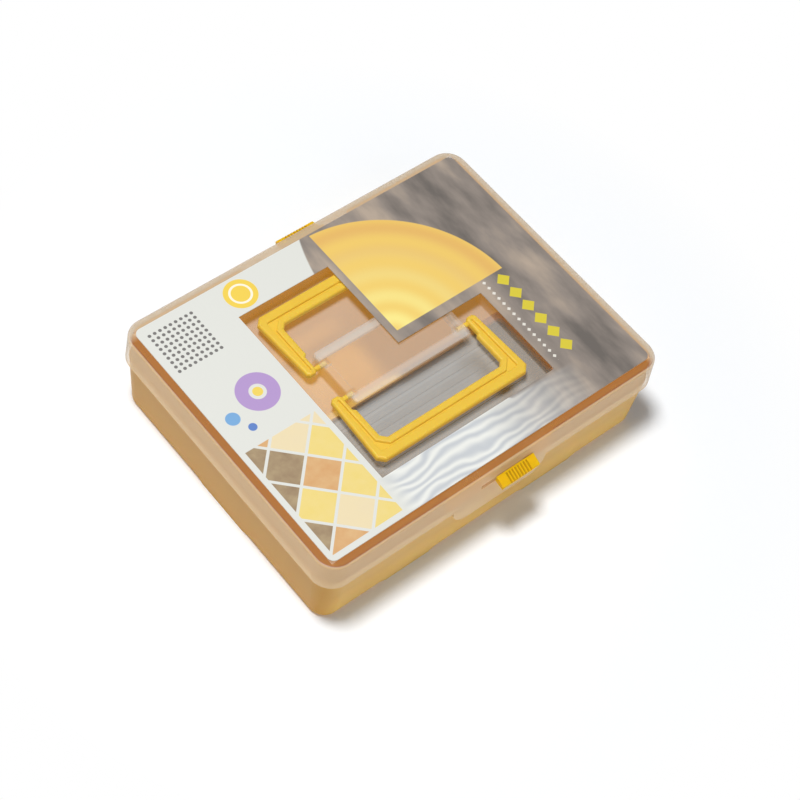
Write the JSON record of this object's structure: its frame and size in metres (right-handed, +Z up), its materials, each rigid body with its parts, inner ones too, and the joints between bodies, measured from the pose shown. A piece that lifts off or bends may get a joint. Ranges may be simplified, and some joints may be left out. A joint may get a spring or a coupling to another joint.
{
  "type": "whetstone carrying case",
  "caption": "Moulded storage case for a whetstone: amber tub with pedestal, frosted lift-off lid, folding carry handles in a recess, sliding side latches and a printed sheet",
  "frame": {"origin": "middle of the case, on the surface that its moulded feet stand on", "axes": "+X along the length, -Y towards the front latch, +Z up"},
  "size_m": [0.29, 0.2422, 0.072],
  "materials": {
    "tub_amber": "translucent amber moulded plastic, satin",
    "mat_rubber": "matt dark grey",
    "holder_yellow": "matt elastic",
    "lid_frosted": "frosted translucent moulded plastic, satin",
    "handle_yellow": "smooth moulded plastic",
    "latch_yellow": "smooth moulded plastic",
    "card_print": "printed glossy sheet"
  },
  "bodies": {
    "base": {"base_tub": "tub_amber", "stone_mat": "mat_rubber", "stone_holder": "holder_yellow"},
    "lid": {"lid_shell": "lid_frosted"},
    "front_handle": {"front_handle": "handle_yellow"},
    "rear_handle": {"rear_handle": "handle_yellow"},
    "front_latch": {"front_latch": "latch_yellow"},
    "rear_latch": {"rear_latch": "latch_yellow"},
    "card": {"display_card": "card_print"}
  },
  "joints": [
    {"name": "lid_lift", "type": "slide", "parent": "base", "child": "lid", "axis": [0, 0, 1], "range_m": [0, 0.08]},
    {"name": "front_handle_fold", "type": "hinge", "parent": "lid", "child": "front_handle", "pos_m": [0, -0.0119, 0.0665], "axis": [-1, 0, 0], "range_deg": [0, 96]},
    {"name": "rear_handle_fold", "type": "hinge", "parent": "lid", "child": "rear_handle", "pos_m": [0, 0.0171, 0.0665], "axis": [1, 0, 0], "range_deg": [0, 96]},
    {"name": "card_tip", "type": "hinge", "parent": "lid", "child": "card", "pos_m": [0, -0.1053, 0.0716], "axis": [1, 0, 0], "range_deg": [0, 29]},
    {"name": "front_latch_slide", "type": "slide", "parent": "lid", "child": "front_latch", "axis": [1, 0, 0], "range_m": [-0.0194, 0]},
    {"name": "rear_latch_slide", "type": "slide", "parent": "lid", "child": "rear_latch", "axis": [1, 0, 0], "range_m": [-0.0194, 0]}
  ],
  "couplings": [
    {"joint": "card_tip", "follows": "rear_handle_fold", "ratio": 0.3}
  ]
}
